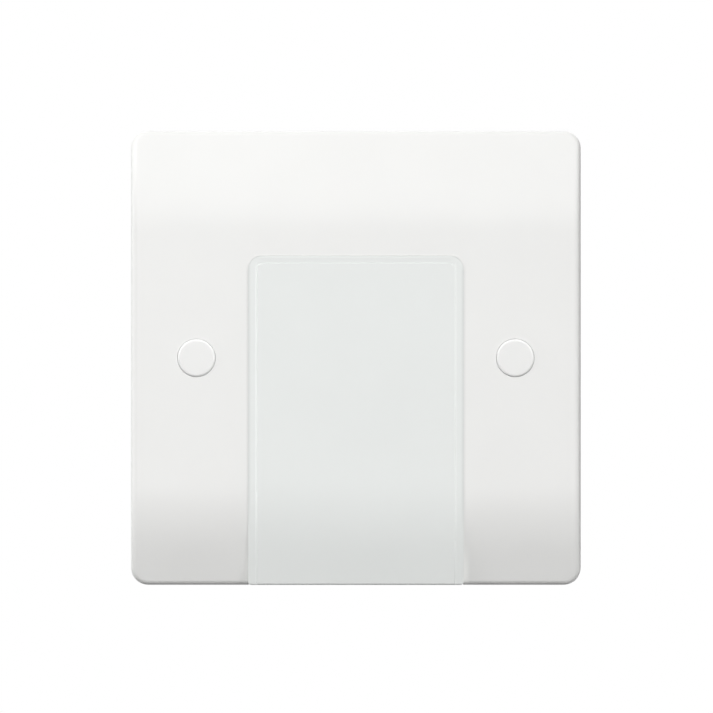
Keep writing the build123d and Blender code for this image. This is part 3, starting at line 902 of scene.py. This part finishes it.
@dataclass
class Fasteners:
    """All screws of the plate, by kind."""

    fixing: ScrewKind = ScrewKind(
        radius=1.75 * MM,
        pitch=0.6 * MM,
        length=25 * MM,
        head_radius=3.1 * MM,
        head_height=2.2 * MM,
        neck_radius=1.5 * MM,
        neck_length=5.5 * MM,
        drive=Drive.SLOT,
        fullness=5.0,
        from_front=True,
    )
    hood: ScrewKind = ScrewKind(
        radius=1.45 * MM,
        pitch=1.1 * MM,
        length=5.2 * MM,
        head_radius=2.6 * MM,
        head_height=1.8 * MM,
        neck_radius=1.45 * MM,
    )
    carrier: ScrewKind = ScrewKind(
        radius=1.45 * MM,
        pitch=1.1 * MM,
        length=7 * MM,
        head_radius=2.6 * MM,
        head_height=1.9 * MM,
        neck_radius=1.45 * MM,
    )
    clamp: ScrewKind = ScrewKind(
        radius=1.5 * MM,
        pitch=1.2 * MM,
        length=10 * MM,
        head_radius=2.8 * MM,
        head_height=2.2 * MM,
        neck_radius=1.5 * MM,
        body="cord_clamp",
    )
    terminal: ScrewKind = ScrewKind(
        radius=1.75 * MM,
        pitch=0.6 * MM,
        length=6 * MM,
        head_radius=2.9 * MM,
        head_height=2.2 * MM,
        neck_radius=1.75 * MM,
        neck_length=0.3 * MM,
        drive=Drive.SLOT,
        fullness=8.0,
    )

    def build(self, finish: bpy.types.Material) -> None:
        """Make every screw.

        Args:
            finish: material of the screws.
        """
        kinds = {"fixing": self.fixing, "hood": self.hood, "carrier": self.carrier, "cord_clamp": self.clamp}
        for name in [node for node in frame["nodes"] if "_screw" in node]:
            kind = next((kinds[start] for start in kinds if name.startswith(start)), self.terminal)
            ThreadedScrew(name, kind).build(finish)


@dataclass(frozen=True)
class InnerFace:
    """Plate's inner face: flat in the middle, and rolled back in an arc above it."""

    level: float = -8.5 * MM
    roll_start: float = 24.2 * MM
    roll_radius: float = 44.66 * MM

    def points(self, x: np.ndarray, z: np.ndarray, lift: np.ndarray) -> np.ndarray:
        """Place points on the face y(z) = f + R - sqrt(R^2 - max(0, z - z0)^2), or lifted off it.

        Args:
            x: places across the plate.
            z: heights on the plate.
            lift: distances from the face, towards the wall.

        Returns:
            Points of the arguments' common shape, with three coordinates each.
        """
        rolled = np.maximum(0.0, z - self.roll_start)
        y = self.level + self.roll_radius - np.sqrt(self.roll_radius**2 - rolled**2) + lift
        return np.stack(np.broadcast_arrays(x, y, z), axis=-1)

    def over(self, x: float, z: float, lifts: tuple[float, float]) -> np.ndarray:
        """Return two points over one place of the face, at two distances from it."""
        return self.points(np.full(2, x), np.full(2, z), np.array(lifts))


INNER_FACE = InnerFace()


@dataclass(frozen=True)
class RaisedMark:
    """Mark moulded on the plate's inner face, made of straight round-ended strokes.

    A stroke runs from (u0, v0) to (u1, v1), in shares of the mark's height from its middle, with u to the
    right seen from behind and v upwards.
    """

    name: str
    across: float
    strokes: tuple[tuple[float, float, float, float], ...]
    level: float = 27.0 * MM
    height: float = 4.6 * MM
    half_width: float = 0.36 * MM
    rise: float = 0.3 * MM
    root: float = 0.15 * MM
    last_ring: float = 0.47 * math.pi
    columns: int = 20
    rows: int = 7
    sharp_angle: float = 60.0

    def build(self, finish: bpy.types.Material) -> None:
        """Make the mark.

        Args:
            finish: material of the plate.
        """
        made = object_of(self.name, [self._stroke(*ends) for ends in self.strokes], finish, self.sharp_angle)
        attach(made, "plate")
        LOG.info("raised %s, %d faces", self.name, len(made.data.polygons))

    def _stroke(self, u0: float, v0: float, u1: float, v1: float) -> Skin:
        """Build one stroke, a stadium whose section is half an ellipse.

        Each ring is the outline at w cos(p) from the middle line, at the height h sin(p) above the face. The
        first ring lies a root's depth below the face. The first half of the columns goes round the far end.

        Args:
            u0: place of the near end, to the right.
            v0: place of the near end, upwards.
            u1: place of the far end, to the right.
            v1: place of the far end, upwards.

        Returns:
            Closed surface of the stroke.
        """
        slope = np.linspace(0.0, self.last_ring, self.rows)
        reach = self.half_width * np.concatenate([[1.0], np.cos(slope)])[:, None]
        lift = np.concatenate([[-self.root], self.rise * np.sin(slope)])[:, None]
        turn = np.linspace(-0.25 * FULL_TURN, 0.75 * FULL_TURN, self.columns, endpoint=False)[None, :]
        far = np.arange(self.columns)[None, :] < self.columns // 2
        heading = math.atan2(v1 - v0, u1 - u0)
        right = np.where(far, u1, u0) * self.height + reach * np.cos(turn + heading)
        up = np.where(far, v1, v0) * self.height + reach * np.sin(turn + heading)
        rings = INNER_FACE.points(self.across - right, self.level + up, lift)
        middle_x = self.across - (u0 + u1) / 2 * self.height
        middle_z = self.level + (v0 + v1) / 2 * self.height
        ends = INNER_FACE.over(middle_x, middle_z, (-self.root, self.rise))
        return Skin.around(rings, ends, np.zeros(rings.shape[:2]))


LIVE_STROKES = ((-0.28, 0.5, -0.28, -0.5), (-0.28, -0.5, 0.28, -0.5))
NEUTRAL_STROKES = ((-0.3, -0.5, -0.3, 0.5), (-0.3, 0.5, 0.3, -0.5), (0.3, -0.5, 0.3, 0.5))
EARTH_STROKES = (
    (0.0, 0.5, 0.0, 0.0),
    (-0.45, 0.0, 0.45, 0.0),
    (-0.28, -0.25, 0.28, -0.25),
    (-0.1, -0.5, 0.1, -0.5),
)
TERMINAL_MARKS = (
    RaisedMark("live_mark", -10.6 * MM, LIVE_STROKES),
    RaisedMark("neutral_mark", 10.6 * MM, NEUTRAL_STROKES),
    RaisedMark("earth_mark", 0.0, EARTH_STROKES),
)


@dataclass(frozen=True)
class PinMarks:
    """Round marks that the mould's ejector pins leave on the plate's inner face, in pairs left and right.

    Places are given as x and z. The rows of a mark go from its rim to the hub, a small share of the radius.
    """

    places: tuple[tuple[float, float], ...] = (
        (35.0 * MM, 21.5 * MM),
        (35.0 * MM, -10.5 * MM),
        (35.0 * MM, -21.5 * MM),
        (22.0 * MM, 26.5 * MM),
    )
    radius: float = 1.75 * MM
    rise: float = 0.08 * MM
    rim_rise: float = 0.04 * MM
    lip: float = 0.07 * MM
    lip_width: float = 0.14 * MM
    root: float = 0.15 * MM
    hub_share: float = 0.05
    columns: int = 48
    rows: int = 18
    sharp_angle: float = 60.0

    def build(self, finish: bpy.types.Material) -> None:
        """Make the marks, left and right, as one object.

        Args:
            finish: material of the plate.
        """
        skins = [self._mark(side * x, z) for x, z in self.places for side in (-1, 1)]
        made = object_of("pin_marks", skins, finish, self.sharp_angle)
        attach(made, "plate")
        LOG.info("raised pin_marks, %d faces", len(made.data.polygons))

    def _mark(self, x: float, z: float) -> Skin:
        """Build one mark, a low disc with a thin lip.

        The height at the radius r is e + l exp(-((R - w - r) / w)^2), for the rise e, the lip l and its width
        w. The first ring lies a root's depth below the face.

        Args:
            x: place of the mark across the plate.
            z: height of the mark on the plate.

        Returns:
            Closed surface of the mark.
        """
        inner = self.radius * np.sqrt(np.linspace(1.0, self.hub_share, self.rows))
        from_lip = (self.radius - self.lip_width - inner) / self.lip_width
        height = self.rise + self.lip * np.exp(-(from_lip**2))
        height[0] = self.rim_rise
        reach = np.concatenate([[self.radius], inner])[:, None]
        lift = np.concatenate([[-self.root], height])[:, None]
        turn = np.linspace(0.0, FULL_TURN, self.columns, endpoint=False)[None, :]
        rings = INNER_FACE.points(x + reach * np.cos(turn), z + reach * np.sin(turn), lift)
        return Skin.around(rings, INNER_FACE.over(x, z, (-self.root, self.rise)), np.zeros(rings.shape[:2]))


@dataclass(frozen=True)
class SoftSource:
    """Round, soft-edged studio light far from the object, as a patch of the sky.

    The azimuth is positive to the right seen from the front, and the elevation upwards, in degrees. The
    strength is full inside the inner angle and falls to nothing at the outer one.
    """

    azimuth: float
    elevation: float
    inner: float
    outer: float
    strength: float

    def light(self, shader: Shader, direction: Socket) -> Socket:
        """Add the patch to a sky.

        Args:
            shader: node tree of the sky.
            direction: unit vector of the ray that meets the sky.

        Returns:
            Socket of the patch's strength in that direction.
        """
        turn, rise = math.radians(self.azimuth), math.radians(self.elevation)
        middle = (math.sin(turn) * math.cos(rise), -math.cos(turn) * math.cos(rise), math.sin(rise))
        start, full = math.cos(math.radians(self.outer)), math.cos(math.radians(self.inner))
        return shader.math("MULTIPLY", shader.ramp(shader.dot(direction, middle), start, full), self.strength)


@dataclass
class Studio:
    """White studio: camera far in front of the plate, soft lights around it, pale floor well below it.

    Gloss also shows a white sky where the ray's rise is above white_from, and fully above white_full.
    """

    camera_place: Point = (0.00012, -1.6, 0.00026)
    lens: float = 424.2
    sensor: float = 36.0
    nearest: float = 0.01
    farthest: float = 20.0
    floor_level: float = -0.60
    floor_half: float = 3.0
    floor_albedo: float = 0.252
    floor_glow: float = 0.775
    lamp_place: Point = (-0.34, -0.34, 0.36)
    lamp_power: float = 0.90
    lamp_size: float = 0.2
    sky_level: float = 0.02
    white_from: float = 0.15
    white_full: float = 0.5
    # Azimuth, elevation, inner angle, outer angle and strength of each light
    sources: tuple[SoftSource, ...] = (
        SoftSource(0, 3, 10, 20, 0.95),
        SoftSource(0, 6, 17, 25, 0.56),
        SoftSource(0, 16, 9, 19, 1.52),
        SoftSource(0, 75, 16, 30, 0.40),
        SoftSource(-32, 3, 10, 20, 0.15),
        SoftSource(-60, 3, 10, 20, 0.45),
        SoftSource(-85, 10, 16, 30, 2.40),
        SoftSource(-120, 5, 20, 34, 1.10),
        SoftSource(-155, 5, 20, 34, 0.60),
        SoftSource(45, 15, 14, 28, 2.20),
        SoftSource(28, 15, 14, 28, 0.40),
        SoftSource(30, 50, 14, 28, 1.55),
        SoftSource(170, 40, 14, 32, 1.90),
    )

    def build(self) -> None:
        """Make camera, sky, lamp and floor."""
        bpy.context.scene.view_settings.view_transform = "Standard"
        self._camera()
        self._sky()
        self._lamp()
        self._floor()
        LOG.info("set the studio with %d soft sources", len(self.sources))

    def _camera(self) -> None:
        """Make the camera, level and square to the plate."""
        data = bpy.data.cameras.new("photo_camera")
        data.sensor_width = self.sensor
        data.lens = self.lens
        data.clip_start, data.clip_end = self.nearest, self.farthest
        made = bpy.data.objects.new("photo_camera", data)
        made.location = self.camera_place
        made.rotation_euler = (math.pi / 2, 0.0, 0.0)
        bpy.context.scene.collection.objects.link(made)
        bpy.context.scene.camera = made

    def _sky(self) -> None:
        """Make a sky that is white to the camera, holds the soft lights, and is white from above in gloss."""
        world = bpy.data.worlds.new("studio_sky")
        bpy.context.scene.world = world
        shader = Shader(world)
        direction = shader.node("ShaderNodeTexCoord").outputs["Generated"]
        level: float | Socket = self.sky_level
        for source in self.sources:
            level = shader.math("ADD", level, source.light(shader, direction))
        _, _, rise = shader.axes(direction)
        above = shader.ramp(rise, self.white_from, self.white_full)
        glossy = shader.node("ShaderNodeLightPath").outputs["Is Glossy Ray"]
        level = shader.math("MAXIMUM", level, shader.math("MULTIPLY", glossy, above))
        light = shader.node("ShaderNodeBackground", {"Color": opaque(WHITE), "Strength": level}).outputs[0]
        white = shader.node("ShaderNodeBackground", {"Color": opaque(WHITE), "Strength": 1.0}).outputs[0]
        mixed = shader.node("ShaderNodeMixShader", {0: shader.shown(), 1: light, 2: white})
        shader.node("ShaderNodeOutputWorld", {"Surface": mixed.outputs[0]})

    def _lamp(self) -> None:
        """Make a round lamp near the upper left, whose light falls off across the plate."""
        data = bpy.data.lights.new("near_lamp", "AREA")
        data.shape = "DISK"
        data.size = self.lamp_size
        data.energy = self.lamp_power
        made = bpy.data.objects.new("near_lamp", data)
        made.location = self.lamp_place
        made.rotation_euler = (-Vector(self.lamp_place)).to_track_quat("-Z", "Y").to_euler()
        bpy.context.scene.collection.objects.link(made)

    def _floor(self) -> None:
        """Make a square floor, white to the camera, that still takes the object's shadow."""
        corners = np.array([(-1, -1), (1, -1), (1, 1), (-1, 1)], float) * self.floor_half
        points = np.column_stack([corners, np.full(len(corners), self.floor_level)])
        mesh = bpy.data.meshes.new("floor")
        mesh.from_pydata(points.tolist(), [], [(0, 1, 2, 3)])
        made = bpy.data.objects.new("floor", mesh)
        bpy.context.scene.collection.objects.link(made)
        material = bpy.data.materials.new("floor_finish")
        shader = Shader(material)
        paint = shader.node("ShaderNodeBsdfDiffuse", {"Color": opaque((self.floor_albedo,) * 3)})
        strength = shader.math("MULTIPLY", shader.shown(), self.floor_glow)
        glow = shader.node("ShaderNodeEmission", {"Strength": strength})
        both = shader.node("ShaderNodeAddShader", {0: paint.outputs[0], 1: glow.outputs[0]})
        shader.node("ShaderNodeOutputMaterial", {"Surface": both.outputs[0]})
        mesh.materials.append(material)


def main() -> None:
    """Dress the solids, build the new pieces and set the studio."""
    logging.basicConfig(level=logging.INFO, format="%(name)s: %(message)s")
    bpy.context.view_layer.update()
    wardrobe = Wardrobe()
    slots = {part["node"]: part["material_slot"] for part in frame["record"]["subparts"]}
    for name, node in frame["nodes"].items():
        wardrobe.dress(node, slots[name])
    Fasteners().build(wardrobe.materials["screw_steel"])
    for mark in TERMINAL_MARKS:
        mark.build(wardrobe.materials["plate_white"])
    PinMarks().build(wardrobe.materials["plate_white"])
    Studio().build()


if __name__ == "__main__":
    main()
